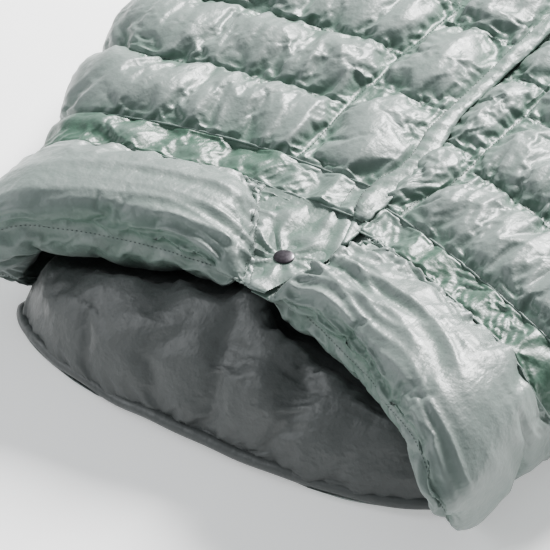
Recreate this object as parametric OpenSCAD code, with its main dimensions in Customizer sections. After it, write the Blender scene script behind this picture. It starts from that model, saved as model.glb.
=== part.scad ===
// Camp quilt, snapped shut at the neck and lying on the ground with its open side up.
// The quilt is a down blanket. Its middle lies flat as the under layer, and its two long
// sides fold over it and meet on the centre line. They are sewn together from the foot up
// to the slit, and above it they are two free lapels that one snap holds at the neck.
// +X runs across, +Y from head to foot and +Z up. The origin is on the ground under the
// centre of the whole quilt. Millimetres.

/* [Plan] */
// Length of the quilt, from its head hem to its foot
quilt_len = 1900; // [1700:10:2100]
// Half width across the folded neck
neck_half_w = 228; // [210:1:245]
// Half width across the folded shoulders
shoulder_half_w = 300; // [280:1:320]
// Half width across the foot
foot_half_w = 205; // [190:1:220]
// How far the under layer's head hem reaches past the lapels
head_reach = 100; // [80:1:140]
// Length of the open slit between the lapels
slit_len = 1196; // [1000:1:1300]

/* [Layers] */
// Loft of one down-filled layer
loft = 34; // [28:1:42]
// Free height between the two layers
gap = 42; // [34:1:50]
// Thickness drawn for the shell and the liner cloth
cloth = 0.8; // [0.6:0.1:1.2]
// Width of one down chamber
chamber_w = 76; // [57:19:133]

/* [Neck] */
// Height of the draft collar that runs along the neck edge
collar_h = 56; // [48:1:56]
// Width of the collar at the centre
collar_w = 95; // [80:1:100]
// Width of the flat elastic channel behind the collar
channel_w = 37; // [28:1:40]
// Width of the draft tube along a lapel's free edge
edge_tube_w = 40; // [30:1:48]
// Width of the binding on a lapel's free edge
binding_w = 8; // [6:1:10]
// How far each tab reaches past the centre line
tab_over = 15; // [13:1:16]

/* [Snap] */
// Diameter of the snap's cap
cap_d = 15; // [14:0.5:16]
// Diameter of the snap's stud
stud_d = 5.2; // [4.8:0.1:5.4]
// Radial clearance between the stud and its socket
snap_clear = 0.45; // [0.4:0.05:0.5]

/* [Hidden] */
$fn = 48;

y_mouth = head_reach - quilt_len / 2;      // the neck edge of the lapels
y_foot = quilt_len / 2;                    // outer face of the foot
y_slit = y_mouth + slit_len;               // where the sewn seam begins
foot_t = 42;                               // loft of the foot panel
y_inner = y_foot - foot_t;                 // inner face of the foot panel
z_gap = loft;                              // top of the under layer
z_top0 = loft + gap;                       // underside of the top layer
z_top = z_top0 + loft;                     // top of the top layer
side_t = 40;                               // loft of the folded sides
y_body = y_mouth + collar_w + channel_w;   // first chamber of the lapels, at the centre
collar_top = z_top + 8;
wall_t = 0.6;                              // baffle wall
down_room = 4;                             // the down is thin this close to a wall
hinge_gap = 1;                             // clear strip at each lapel's crease
edge_x = 4;                                // the lapels stop this far from the centre
lapel_inner = edge_x + binding_w;
hem_w = 12;                                // head hem's width

shoulder_at = 430;                         // from the neck edge to the widest place
run = y_foot - y_mouth - shoulder_at;      // from the widest place to the foot

// Half width of the folded quilt at a distance d from the neck edge.
function half_w(d) =
    d < shoulder_at
    ? neck_half_w + (shoulder_half_w - neck_half_w) * sin(90 * max(d, 0) / shoulder_at)
    : foot_half_w + (shoulder_half_w - foot_half_w) * (1 + cos(180 * (d - shoulder_at) / run)) / 2;

// Where a lapel's crease crosses a line at y, as a distance from the centre line.
function crease_x(y) = neck_half_w * (y_slit - y) / slit_len;

side_steps = 24;
head_steps = 20;
function right_side(inset) = [
    for (i = [0 : side_steps])
        let (d = i * (y_foot - y_mouth) / side_steps)
        [half_w(d) - inset, min(y_mouth + d, y_foot - inset)]
];
function head_arc(inset) = [
    for (i = [1 : head_steps - 1])
        let (a = 180 + 180 * i / head_steps)
        [(neck_half_w - inset) * cos(a), y_mouth + (head_reach - inset) * sin(a)]
];
function mirrored(points) = [for (i = [len(points) - 1 : -1 : 0]) [-points[i].x, points[i].y]];

// Plan outline of the under layer, drawn in by an inset.
module under_outline(inset = 0) {
    polygon(concat(head_arc(inset), right_side(inset), mirrored(right_side(inset))));
}

// Plan outline of the top layer, without the strip that the collars take.
module top_outline(inset = 0) {
    intersection() {
        under_outline(inset);
        translate([-2 * shoulder_half_w, y_mouth + 2])
            square([4 * shoulder_half_w, 2 * quilt_len]);
    }
}

// The two lapels' plan, grown sideways past their creases.
module lapel_notch(grow) {
    far = y_mouth - head_reach;
    polygon([
        [-crease_x(far) - grow, far],
        [crease_x(far) + grow, far],
        [grow, y_slit],
        [-grow, y_slit],
    ]);
}

// The part of the top layer that stays on the under layer.
module fixed_top_plan(inset = 0) {
    difference() {
        top_outline(inset);
        lapel_notch(hinge_gap);
    }
}

// Plan of the right lapel outside of inner, between two places along the quilt, where the
// whole lapel is wider than least_w.
module lapel_plan(inner, y0, y1, least_w) {
    y_end = min(y1, y_slit - least_w * slit_len / neck_half_w);
    if (y_end > y0)
        difference() {
            polygon([
                [inner, y0],
                [crease_x(y0) - hinge_gap, y0],
                [crease_x(y_end) - hinge_gap, y_end],
                [inner, y_end],
            ]);
            front_zone();
        }
}

// The neck edge and the channel's two seams curve towards the head at the sides.
function lip_y(x) = y_mouth + 2 - 50 * pow(abs(x) / 190, 2);
function seam_lo(x) = y_mouth + collar_w - 55 * pow(abs(x) / 210, 2);
function seam_hi(x) = y_body - 48 * pow(abs(x) / 200, 1.8);

// Everything on the head side of the channel's upper seam, with a seam's width to spare.
module front_zone() {
    reach = 240;
    far = y_mouth - 2 * head_reach;
    seam_room = 1.5;
    polygon(concat(
        [for (i = [0 : 24]) let (x = reach * (i / 12 - 1)) [x, seam_hi(x) + seam_room]],
        [[reach, far], [-reach, far]]
    ));
}

module slab(z0, z1) {
    translate([0, 0, z0]) linear_extrude(z1 - z0) children();
}

// A slice across the whole quilt between two places along it.
module across(y0, y1) {
    translate([-2 * shoulder_half_w, y0]) square([4 * shoulder_half_w, y1 - y0]);
}

// Sides swap by mirroring the right one.
module on_side(side) {
    if (side > 0) children();
    else mirror([1, 0, 0]) children();
}

mint = [0.72, 0.80, 0.76];
green = [0.47, 0.61, 0.53];
grey = [0.42, 0.45, 0.44];
down_white = [0.93, 0.93, 0.90];
mesh_white = [0.85, 0.87, 0.86];
gunmetal = [0.30, 0.27, 0.31];

// ---- under layer ----

under_chambers = ceil((y_inner - y_body) / chamber_w);
first_under = -2;
// Where under chamber k starts. The first one starts at the head hem.
function under_y(k) =
    k == first_under ? y_mouth - head_reach + hem_w : min(y_body + k * chamber_w, y_inner);

module under_shell() {
    color(mint) slab(0, cloth) under_outline();
}

// Shell cloth up the folded sides, from the under layer to the top one.
module side_shell() {
    color(mint)
        slab(cloth, z_top)
            intersection() {
                difference() {
                    under_outline();
                    under_outline(cloth);
                }
                across(y_mouth + 2, y_inner);
            }
}

module under_liner() {
    color(grey)
        slab(z_gap - cloth, z_gap)
            intersection() {
                under_outline(cloth);
                across(y_mouth - head_reach + hem_w, y_inner);
            }
}

module under_down() {
    color(down_white)
        for (k = [first_under : under_chambers - 1])
            slab(cloth, z_gap - cloth)
                intersection() {
                    under_outline(cloth);
                    across(under_y(k) + down_room, under_y(k + 1) - down_room);
                }
}

module under_baffle_walls() {
    color(mesh_white)
        for (k = [first_under + 1 : under_chambers - 1])
            slab(cloth, z_gap - cloth)
                intersection() {
                    under_outline(cloth);
                    across(under_y(k), under_y(k) + wall_t);
                }
}

// Rolled hem that closes the under layer at the head.
module head_hem() {
    color(mint)
        slab(cloth, z_gap)
            intersection() {
                under_outline(cloth);
                across(y_mouth - head_reach, y_mouth - head_reach + hem_w);
            }
}

module side_down() {
    color(down_white)
        for (k = [0 : under_chambers - 1])
            slab(z_gap, z_top0 - cloth)
                intersection() {
                    difference() {
                        under_outline(cloth);
                        under_outline(side_t);
                    }
                    across(under_y(k) + down_room / 2, under_y(k + 1) - down_room / 2);
                }
}

// ---- fixed part of the top layer ----

top_chambers = ceil((y_inner - y_body) / chamber_w);
function top_y(k) = k < 0 ? y_mouth + 2 : min(y_body + k * chamber_w, y_inner);

module top_shell() {
    color(mint)
        slab(z_top - cloth, z_top)
            intersection() {
                fixed_top_plan(cloth);
                across(y_mouth, y_inner);
            }
}

module top_liner() {
    color(grey)
        slab(z_top0, z_top0 + cloth)
            intersection() {
                fixed_top_plan(cloth);
                across(y_mouth, y_inner);
            }
}

module top_down() {
    color(down_white)
        for (k = [-1 : top_chambers - 1])
            slab(z_top0 + cloth, z_top - cloth)
                intersection() {
                    fixed_top_plan(cloth);
                    across(top_y(k) + down_room, top_y(k + 1) - down_room);
                }
}

module top_baffle_walls() {
    color(mesh_white)
        for (k = [0 : top_chambers - 1])
            slab(z_top0 + cloth, z_top - cloth)
                intersection() {
                    fixed_top_plan(cloth);
                    across(top_y(k), top_y(k) + wall_t);
                }
}

// ---- foot ----

module foot_shell() {
    color(mint)
        difference() {
            slab(cloth, z_top)
                intersection() {
                    under_outline();
                    across(y_inner, y_foot);
                }
            slab(2 * cloth, z_top - cloth)
                intersection() {
                    under_outline(cloth);
                    across(y_inner + cloth, y_foot - cloth);
                }
        }
}

module foot_down() {
    color(down_white)
        slab(2 * cloth, z_top - cloth)
            intersection() {
                under_outline(cloth);
                across(y_inner + cloth, y_foot - cloth);
            }
}

tape_w = 10;

// Seam tape across the top where the foot panel is sewn in.
module foot_seam_tape() {
    color(green)
        slab(z_top, z_top + cloth)
            intersection() {
                under_outline(side_t / 2);
                across(y_inner - tape_w / 2, y_inner + tape_w / 2);
            }
}

// Seam that closes the two sides from the slit to the foot.
module closing_seam_tape() {
    color(green)
        slab(z_top, z_top + cloth)
            translate([-tape_w / 2, y_slit])
                square([tape_w, y_inner - tape_w / 2 - y_slit]);
}

// ---- one lapel ----

lapel_chambers = ceil((y_slit - y_body) / chamber_w);
lapel_y0 = y_mouth + 60;                   // the first chamber's corner lies this near the neck
tube_x = lapel_inner + edge_tube_w;        // seam between the edge tube and the chambers
thick_w = tube_x + 14;                     // a narrower lapel holds no down
thin_w = lapel_inner + 2;                  // and a still narrower one ends
y_thin = y_slit - thick_w * slit_len / neck_half_w;
function lapel_y(k) = k == 0 ? lapel_y0 : y_body + k * chamber_w;

module lapel_shell(side) {
    color(mint)
        on_side(side)
            slab(z_top - cloth, z_top) lapel_plan(tube_x, lapel_y0, y_slit, thick_w);
}

module lapel_liner(side) {
    color(grey)
        on_side(side)
            slab(z_top0, z_top0 + cloth) lapel_plan(lapel_inner, lapel_y0, y_slit, thick_w);
}

module lapel_down(side) {
    color(down_white)
        on_side(side)
            for (k = [0 : lapel_chambers - 1])
                slab(z_top0 + cloth, z_top - cloth)
                    lapel_plan(tube_x, lapel_y(k) + down_room, lapel_y(k + 1) - down_room, thick_w);
}

module lapel_baffle_walls(side) {
    color(mesh_white)
        on_side(side)
            for (k = [1 : lapel_chambers - 1])
                slab(z_top0 + cloth, z_top - cloth)
                    lapel_plan(tube_x, lapel_y(k), lapel_y(k) + wall_t, thick_w);
}

// Draft tube along the free edge, down to the slit's narrow end.
module edge_tube(side) {
    color(mint)
        on_side(side) {
            slab(z_top - cloth, z_top)
                difference() {
                    lapel_plan(lapel_inner, lapel_y0, y_slit, thick_w);
                    translate([tube_x, y_mouth]) square([shoulder_half_w, slit_len]);
                }
            slab(z_top - cloth, z_top)
                polygon([
                    [lapel_inner, y_thin],
                    [thick_w - hinge_gap, y_thin],
                    [thin_w - hinge_gap, y_slit - thin_w * slit_len / neck_half_w],
                    [lapel_inner, y_slit - thin_w * slit_len / neck_half_w],
                ]);
        }
}

module edge_down(side) {
    color(down_white)
        on_side(side)
            slab(z_top0 + cloth, z_top - cloth)
                difference() {
                    lapel_plan(lapel_inner, lapel_y0, y_slit, thick_w);
                    translate([tube_x - 1, y_mouth]) square([shoulder_half_w, slit_len]);
                }
}

channel_z0 = z_top - 23;
channel_h = 12;
channel_in = edge_x + 2;
channel_gap = 1;                           // between the tabs and the channel
elastic_h = 1.5;
elastic_inset = 5;
band_steps = 12;
band_end = 203;                            // the bands stop this far from the centre
lip_end = 194;                             // and this far at the neck edge

// Points of a curve between two distances from the centre, drawn in by an inset.
function along(x0, x1, kind, inset) = [
    for (i = [0 : band_steps])
        let (x = x0 + (x1 - x0) * i / band_steps)
        [x, kind == "lip" ? lip_y(x) + inset
          : kind == "lo_top" ? seam_lo(x) - inset
          : kind == "lo_bottom" ? seam_lo(x) + inset
          : seam_hi(x) - inset]
];
function backwards(points) = [for (i = [len(points) - 1 : -1 : 0]) points[i]];

// The left tab is a triangle, and the right one a straight strip under it.
function tab_lip_x(side) = side < 0 ? 40 : 18;
function tab_seam_x(side) = side < 0 ? 54 : 18;

module collar_plan(side, inset) {
    polygon(concat(
        along(tab_lip_x(side) + inset, lip_end - inset, "lip", inset),
        backwards(along(tab_seam_x(side) + inset, band_end - inset, "lo_top", inset))
    ));
}

// The channel runs past the tab to the lapel's free edge.
module channel_plan(inset) {
    polygon(concat(
        along(channel_in + inset, band_end - inset, "lo_bottom", inset + channel_gap),
        backwards(along(channel_in + inset, band_end - inset, "hi", inset))
    ));
}

// Flat sleeve between the collar and the first chamber, with room for its elastic.
module lapel_channel(side) {
    color(green)
        on_side(side)
            difference() {
                slab(channel_z0, channel_z0 + channel_h) channel_plan(0);
                elastic_room();
            }
}

module elastic_room() {
    slab(channel_z0 + elastic_inset, channel_z0 + elastic_inset + elastic_h)
        channel_plan(elastic_inset);
}

module lapel_elastic(side) {
    color("white") on_side(side) elastic_room();
}

module lapel_collar(side) {
    color(mint)
        on_side(side)
            difference() {
                slab(collar_top - collar_h, collar_top) collar_plan(side, 0);
                slab(collar_top - collar_h + cloth, collar_top - cloth) collar_plan(side, cloth);
            }
}

module lapel_collar_down(side) {
    color(down_white)
        on_side(side)
            slab(collar_top - collar_h + cloth, collar_top - cloth) collar_plan(side, cloth);
}

binding_h = 12;

// The binding folds over the lapel's free edge.
module lapel_binding(side) {
    color(mint)
        on_side(side)
            slab(z_top - binding_h, z_top)
                translate([edge_x, y_body])
                    square([binding_w, y_slit - 20 * slit_len / neck_half_w - y_body]);
}

// ---- snap and the tabs that carry it ----

snap_y = y_mouth + 42;                     // the snap sits this far in from the neck edge
tab_t = 2;                                 // doubled cloth
stiff_t = 0.6;                             // sewn-in stiffener
stiff_r = 11;
low_tab_z = z_top - 18;                          // underside of the right tab
socket_h = 3.4;
flange_t = 0.8;                            // stud's own base
stud_h = 2.6;                              // from the stud's base to its top
base_z = low_tab_z + tab_t + stiff_t;      // the stud stands on this
high_tab_z = base_z + flange_t + 0.4 + socket_h + stiff_t;   // underside of the left tab
shank_r = 1.6;                             // hole through a tab
tab_gap = 0.5;                             // clear strip at the tab's stitched line
corner_y = y_mouth + 55;                   // the tab's free corner is cut off from here

// The left tab bends on a line between the lapel's two free edges.
peel_from = [-34, y_mouth + 2];
peel_to = [tab_over, y_mouth + 96];

// Everything on the snap's side of the bending line, moved sideways by shift.
module snap_side(shift) {
    reach = 80;
    polygon([
        peel_from + [shift, 0],
        peel_to + [shift, 0],
        peel_to + [reach, 0],
        peel_from + [reach, -reach],
        peel_from + [shift, -reach],
    ]);
}

// Plan of the whole left tab, with its free corner cut off.
module left_tab_plan() {
    y1 = seam_lo(tab_seam_x(-1)) + tab_gap;
    polygon([
        [-tab_lip_x(-1) + tab_gap, y_mouth + 4],
        [0, y_mouth + 4],
        [tab_over, corner_y],
        [tab_over, seam_lo(tab_over)],
        [-tab_seam_x(-1) + tab_gap, y1],
    ]);
}

module right_tab_plan() {
    polygon([
        [tab_lip_x(1) - tab_gap, y_mouth + 4],
        [0, y_mouth + 4],
        [-tab_over, corner_y],
        [-tab_over, seam_lo(tab_over)],
        [tab_seam_x(1) - tab_gap, seam_lo(tab_over)],
    ]);
}

module left_tab() {
    color(mint)
        difference() {
            slab(high_tab_z, high_tab_z + tab_t)
                intersection() {
                    left_tab_plan();
                    snap_side(tab_gap);
                }
            translate([0, snap_y, high_tab_z - 1]) cylinder(r = shank_r, h = tab_t + 2);
        }
}

// The part of the tab that stays on the lapel when the snap is pulled open.
module left_tab_base() {
    color(mint)
        slab(high_tab_z, high_tab_z + tab_t)
            difference() {
                left_tab_plan();
                snap_side(-tab_gap);
            }
}

module right_tab() {
    color(mint)
        difference() {
            slab(low_tab_z, low_tab_z + tab_t) right_tab_plan();
            translate([0, snap_y, low_tab_z - 1]) cylinder(r = shank_r, h = tab_t + 2);
        }
}

module stiffener(z) {
    color("white")
        translate([0, snap_y, z])
            difference() {
                cylinder(r = stiff_r, h = stiff_t);
                translate([0, 0, -1]) cylinder(r = shank_r, h = stiff_t + 2);
            }
}

// Domed cap with the shank that holds the socket through the cloth.
module snap_cap() {
    cap_r = cap_d / 2;
    rim = 0.7;
    dome = 1.3;
    color(gunmetal)
        translate([0, snap_y, high_tab_z + tab_t])
            rotate_extrude()
                polygon(concat(
                    [[0, -tab_t - stiff_t - 0.8], [shank_r, -tab_t - stiff_t - 0.8], [shank_r, 0],
                     [cap_r - 0.3, 0], [cap_r, 0.3], [cap_r, rim]],
                    [for (i = [1 : 8]) [cap_r * cos(90 * i / 8), rim + dome * sin(90 * i / 8)]]
                ));
}

module snap_socket() {
    bore_r = stud_d / 2 + snap_clear;
    color(gunmetal)
        translate([0, snap_y, high_tab_z - stiff_t - socket_h])
            difference() {
                union() {
                    cylinder(d = 9.6, h = socket_h);
                    translate([0, 0, socket_h - 0.8]) cylinder(d = 12.4, h = 0.8);
                }
                translate([0, 0, -1]) cylinder(r = bore_r, h = socket_h - 0.8 + 1);
                cylinder(r = shank_r, h = socket_h + 1);
            }
}

module snap_stud() {
    color(gunmetal)
        translate([0, snap_y, base_z])
            difference() {
                union() {
                    cylinder(d = 12, h = flange_t);
                    cylinder(d = stud_d - 0.6, h = stud_h);
                    translate([0, 0, stud_h - 1]) cylinder(d = stud_d, h = 1);
                }
                translate([0, 0, -1]) cylinder(r = shank_r, h = 2.2);
            }
}

// Rivet that comes up through the right tab and holds the stud.
module snap_post() {
    color(gunmetal)
        translate([0, snap_y, low_tab_z]) {
            translate([0, 0, -1]) cylinder(d = 11.5, h = 1);
            cylinder(r = shank_r, h = tab_t + stiff_t + 1.2);
        }
}

under_shell();
under_liner();
under_down();
under_baffle_walls();
head_hem();
side_shell();
side_down();
top_shell();
top_liner();
top_down();
top_baffle_walls();
foot_shell();
foot_down();
foot_seam_tape();
closing_seam_tape();
lapel_shell(-1);  // left_shell
lapel_liner(-1);  // left_liner
lapel_down(-1);  // left_down
lapel_baffle_walls(-1);  // left_baffle_walls
edge_tube(-1);  // left_edge_tube
edge_down(-1);  // left_edge_down
lapel_channel(-1);  // left_channel
lapel_elastic(-1);  // left_elastic
lapel_collar(-1);  // left_collar
lapel_collar_down(-1);  // left_collar_down
lapel_binding(-1);  // left_binding
left_tab();
left_tab_base();
stiffener(high_tab_z - stiff_t);  // left_tab_stiffener
snap_cap();
snap_socket();
lapel_shell(1);  // right_shell
lapel_liner(1);  // right_liner
lapel_down(1);  // right_down
lapel_baffle_walls(1);  // right_baffle_walls
edge_tube(1);  // right_edge_tube
edge_down(1);  // right_edge_down
lapel_channel(1);  // right_channel
lapel_elastic(1);  // right_elastic
lapel_collar(1);  // right_collar
lapel_collar_down(1);  // right_collar_down
lapel_binding(1);  // right_binding
right_tab();
stiffener(low_tab_z + tab_t);  // right_tab_stiffener
snap_stud();
snap_post();
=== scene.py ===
import math

import bmesh
import bpy
import numpy as np
from mathutils import Matrix, Vector


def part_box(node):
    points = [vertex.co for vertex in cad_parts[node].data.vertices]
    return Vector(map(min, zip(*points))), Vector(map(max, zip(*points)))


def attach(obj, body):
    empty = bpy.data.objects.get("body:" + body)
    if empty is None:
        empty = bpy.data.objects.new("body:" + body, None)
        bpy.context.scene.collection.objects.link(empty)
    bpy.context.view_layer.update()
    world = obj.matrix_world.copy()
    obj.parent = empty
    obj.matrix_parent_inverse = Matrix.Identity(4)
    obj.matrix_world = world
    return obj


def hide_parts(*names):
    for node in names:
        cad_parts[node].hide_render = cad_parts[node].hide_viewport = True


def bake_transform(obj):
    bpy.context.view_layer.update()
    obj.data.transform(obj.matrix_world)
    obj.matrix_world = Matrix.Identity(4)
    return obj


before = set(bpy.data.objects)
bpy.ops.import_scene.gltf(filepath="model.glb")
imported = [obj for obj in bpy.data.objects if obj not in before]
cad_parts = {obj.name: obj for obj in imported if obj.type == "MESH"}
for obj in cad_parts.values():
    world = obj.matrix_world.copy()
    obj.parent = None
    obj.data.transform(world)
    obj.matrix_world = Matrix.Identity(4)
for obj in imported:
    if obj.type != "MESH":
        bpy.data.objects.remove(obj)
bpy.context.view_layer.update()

# Lengths below are in millimetres unless a name says otherwise. "d" is the distance from the
# neck edge towards the foot, and "h" the distance from the centre line along the cloth.
MM = 0.001
SNAP_D = 42.0


def cad_box(node):
    """Lowest and highest corners of a CAD node, in millimetres."""
    return [np.array(corner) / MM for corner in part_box(node)]


SNAP_LOW, SNAP_HIGH = cad_box("snap_cap")
Y_NECK = round((SNAP_LOW[1] + SNAP_HIGH[1]) / 2 - SNAP_D, 1)
D_FOOT = round(cad_box("foot_shell")[0][1] - Y_NECK, 1)
D_SLIT = round(cad_box("closing_seam_tape")[0][1] - Y_NECK, 1)
HEM_REACH = 67.0
Z_SEAM = 100.0
Z_MID = 55.0
FOLD_R = Z_SEAM - Z_MID
FOLD_OUT = 55.0
NECK_W = 228.0
WIDEST_W, WIDEST_D = 300.0, 430.0
FOOT_W, TAPER = 205.0, 1340.0
CHAMBER = 76.0
FIRST_SEAM = 132.0
SEAM_BLEND = 420.0
rng = np.random.default_rng(23)


def smooth(t):
    """Eases from 0 to 1 as t goes from 0 to 1."""
    t = np.clip(t, 0.0, 1.0)
    return t * t * (3 - 2 * t)


def half_width(d):
    """Half width of the folded quilt, as in the CAD."""
    d = np.maximum(d, 0.0)
    near = NECK_W + (WIDEST_W - NECK_W) * np.sin(np.pi / 2 * np.minimum(d, WIDEST_D) / WIDEST_D)
    tapered = np.clip((d - WIDEST_D) / TAPER, 0, 1)
    far = FOOT_W + (WIDEST_W - FOOT_W) * (1 + np.cos(np.pi * tapered)) / 2
    return np.where(d < WIDEST_D, near, far)


def make_noise(scale, count=24):
    """Smooth noise over a plane, from -1 to 1, with features about scale wide."""
    angle = rng.uniform(0, 2 * np.pi, count)
    freq = rng.uniform(0.5, 1.3, count) * 2 * np.pi / scale
    phase = rng.uniform(0, 2 * np.pi, count)

    def noise(x, y):
        total = np.zeros(np.broadcast(x, y).shape)
        for a, f, p in zip(angle, freq, phase):
            total += np.sin(f * (x * np.cos(a) + y * np.sin(a)) + p)
        return total / math.sqrt(count / 2) / 1.8

    return noise


wide_noise = make_noise(210.0)
mid_noise = make_noise(60.0)
fine_noise = make_noise(16.0)


def new_mesh(name, points, faces):
    """A smooth-shaded object from points in metres."""
    mesh = bpy.data.meshes.new(name)
    mesh.from_pydata([tuple(p) for p in np.asarray(points)], [], [tuple(f) for f in faces])
    mesh.update()
    obj = bpy.data.objects.new(name, mesh)
    bpy.context.scene.collection.objects.link(obj)
    mesh.polygons.foreach_set("use_smooth", [True] * len(mesh.polygons))
    return obj


def grid_faces(rows, cols, flip=False):
    """Quads of a grid of rows by cols points, stored row after row."""
    i, j = np.meshgrid(np.arange(rows - 1), np.arange(cols - 1), indexing="ij")
    a = (i * cols + j).ravel()
    quads = np.stack([a, a + 1, a + cols + 1, a + cols], axis=1)
    return quads[:, ::-1] if flip else quads


# ---- the neck edge and seams, as distances from the neck edge ----
LEFT, RIGHT = -1, 1
LIP = {LEFT: (2.0, 38.0, 184.0, 3.0), RIGHT: (2.0, 85.0, 192.0, 1.5)}
LOW = {LEFT: (107.0, 40.0, 197.0, 2.2), RIGHT: (101.0, 74.0, 218.0, 1.5)}
HIGH = {LEFT: (143.5, 40.0, 210.0, 2.4), RIGHT: (134.0, 57.0, 188.0, 1.4)}
SIDE_H = 224.0


def curve(table, side, h):
    """The curve reaches furthest towards the head at the side fold and comes back below it."""
    start, drop, reach, power = table[side]
    across = SIDE_H - np.hypot(np.asarray(h) - SIDE_H, 14)
    return start - drop * (np.maximum(across, 0) / reach) ** power


OVERLAP = 27.0


def edge_h(side, d):
    """Where the free edge is, as a distance from the centre line. Negative is past it."""
    corner = 10 + 17 * smooth((d + 8) / 70)
    if side == LEFT:
        away = OVERLAP - 13 * smooth((d - 170) / 80) - 12 * smooth((d - 300) / 800)
        return -np.where(d < 100, corner, away)
    near = -14.0 * smooth((d + 8) / 60)
    return near + 17.5 * smooth((d - 92) / 30) - 2.5 * smooth((d - 900) / 250)


def strip_width(side, d):
    """Width of the bound strip along the free edge. It starts as a point at the tab's corner."""
    if side == LEFT:
        grown = np.clip(0.33 * (d - 73), 1.8, 20)
        return grown - 4 * smooth((d - 140) / 25) - 5 * smooth((d - 205) / 40)
    return np.clip(0.2 * (d - 73), 1.8, 9)


def first_h(side, d):
    """Where the tab ends, and further on where the edge tube does."""
    if side == LEFT:
        stitched = 57 * np.clip((d + 1) / 99, -0.1, 1)
        return np.where(d < 98, stitched, 57 + 4 * smooth((d - 150) / 70) - 6 * smooth((d - 260) / 200))
    return 14 + 16 * smooth(d / 60) + 10 * smooth((d - 100) / 30) + 12 * smooth((d - 140) / 50)


# ---- rows and columns of one half of the quilt ----
EDGE_COLS = 24
STRIP_COLS = 6
TOP_COLS = 54
FOLD_COLS = 26
FLOOR_COLS = 7
TUBE_ROWS = 78
LIP_SEAM = 37
CHANNEL_ROWS = 14
NECK_CHAMBERS = 3
NECK_ROWS, BODY_ROWS = 24, 11
FLOOR_W = 60.0


def row_plan():
    """Rows towards the foot: how far each is past the channel, and which are cross seams."""
    steps, seams = [0.0], {0}
    k = 0
    while D_FOOT - FIRST_SEAM - steps[-1] > 1:
        k += 1
        end = min(CHAMBER * k, D_FOOT - FIRST_SEAM)
        n = NECK_ROWS if k <= NECK_CHAMBERS else BODY_ROWS
        start = steps[-1]
        steps += [start + (end - start) * i / n for i in range(1, n + 1)]
        seams.add(len(steps) - 1)
    return np.array(steps), sorted(seams)


BODY_STEPS, BODY_SEAMS = row_plan()
COLLAR_TOP, COLLAR_LOW = 20.0, {LEFT: 33.0, RIGHT: 40.0}
COLLAR_RISE = {LEFT: 26.0, RIGHT: 12.0}
COLLAR_SLIM = {LEFT: 0.35, RIGHT: 0.3}
TAB_LEVEL = {LEFT: 0.9, RIGHT: -3.3}
TAB_HALF_T = 0.9
LIP_GROOVE = 7.0
FLAT_LEVEL, FLAT_HALF_T = 5.5, 1.6


def column_h(side, d):
    """Distances along the cloth from the centre, for the columns of one row at d."""
    w = half_width(d)
    a, b = edge_h(side, d), first_h(side, d)
    c = w - FOLD_OUT
    strip = np.minimum(strip_width(side, d), 0.4 * (b - a))
    inner = EDGE_COLS - STRIP_COLS
    cols = [a + strip * t for t in np.arange(STRIP_COLS) / STRIP_COLS]
    cols += [a + strip + (b - a - strip) * t for t in np.arange(inner) / inner]
    cols += [b + (c - b) * t for t in np.arange(TOP_COLS) / TOP_COLS]
    cols += [c + np.pi * FOLD_R * t for t in np.arange(FOLD_COLS) / FOLD_COLS]
    cols += [c + np.pi * FOLD_R + FLOOR_W * t for t in np.arange(FLOOR_COLS + 1) / FLOOR_COLS]
    return np.stack(cols, axis=-1)


def place(side, h, d, n):
    """Point at h along the cloth and n proud of the seam level, in metres."""
    c = half_width(d) - FOLD_OUT
    phi = np.clip((h - c) / FOLD_R, 0, np.pi)
    r = FOLD_R + n
    past = np.maximum(h - c - np.pi * FOLD_R, 0)
    x = np.minimum(h, c) + r * np.sin(phi) - past
    z = Z_MID + r * np.cos(phi)
    return np.stack([side * x, Y_NECK + d, z], axis=-1) * MM


def lift(side, h, d):
    """The left half's free edge lies on the right half's, from the neck to the slit's end."""
    fade = 1 - smooth((d - 500) / 600)
    if side == LEFT:
        return 2.0 * (1 - smooth((h + 12) / 34)) * fade
    return -3.6 * (1 - smooth((h - 17) / 14)) * fade


def collar_rows(side):
    """Rows round the collar: from its seam below, round the neck edge, to its seam on top."""
    out = []
    ring = 2 * np.pi * (1 - np.arange(TUBE_ROWS) / TUBE_ROWS)
    centre = float(curve(LOW, side, 0))
    for i, turn in enumerate(ring):
        t = (1 - math.cos(turn)) / 2
        h = column_h(side, np.array(centre - (centre - 2) * t))
        low, lip = curve(LOW, side, h), curve(LIP, side, h)
        d = low - (low - lip) * t + 30 * t * smooth((h - 250) / 60)
        full = smooth((h - first_h(side, d) - 1) / COLLAR_RISE[side])
        thin = 1 - COLLAR_SLIM[side] * smooth((h - 150) / 90)
        groove = full * math.exp(-((i - LIP_SEAM) / 1.5) ** 2)
        swell = math.sin(turn) * t ** 0.25
        deeper = 20 * smooth((h - 40) / 90) if side == LEFT else 0
        tall = COLLAR_TOP if swell > 0 else COLLAR_LOW[side] + deeper
        inner = 1 + thin * tall * swell
        face = math.copysign(min(abs(swell) * 3, 1), swell)
        n = full * inner + (1 - full) * (TAB_LEVEL[side] + TAB_HALF_T * face)
        n = n + full * lift(side, h, d) + 2.0 * groove
        flat = smooth((h - 258) / 42)
        n = n * (1 - flat) + flat * (FLAT_LEVEL + FLAT_HALF_T * face)
        out.append((h, d + LIP_GROOVE * groove, n))
    return out


TUBE_SEAM_FIRST = {LEFT: 250.0, RIGHT: 222.0}
TUBE_SEAM_PITCH, TUBE_SEAM_COUNT = 96.0, 10
SEED_BULGE = 9.0
COLLAR_SLACK, CHANNEL_SLACK = 0.8, 0.6
CHANNEL_PUFF = 0.12


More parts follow.
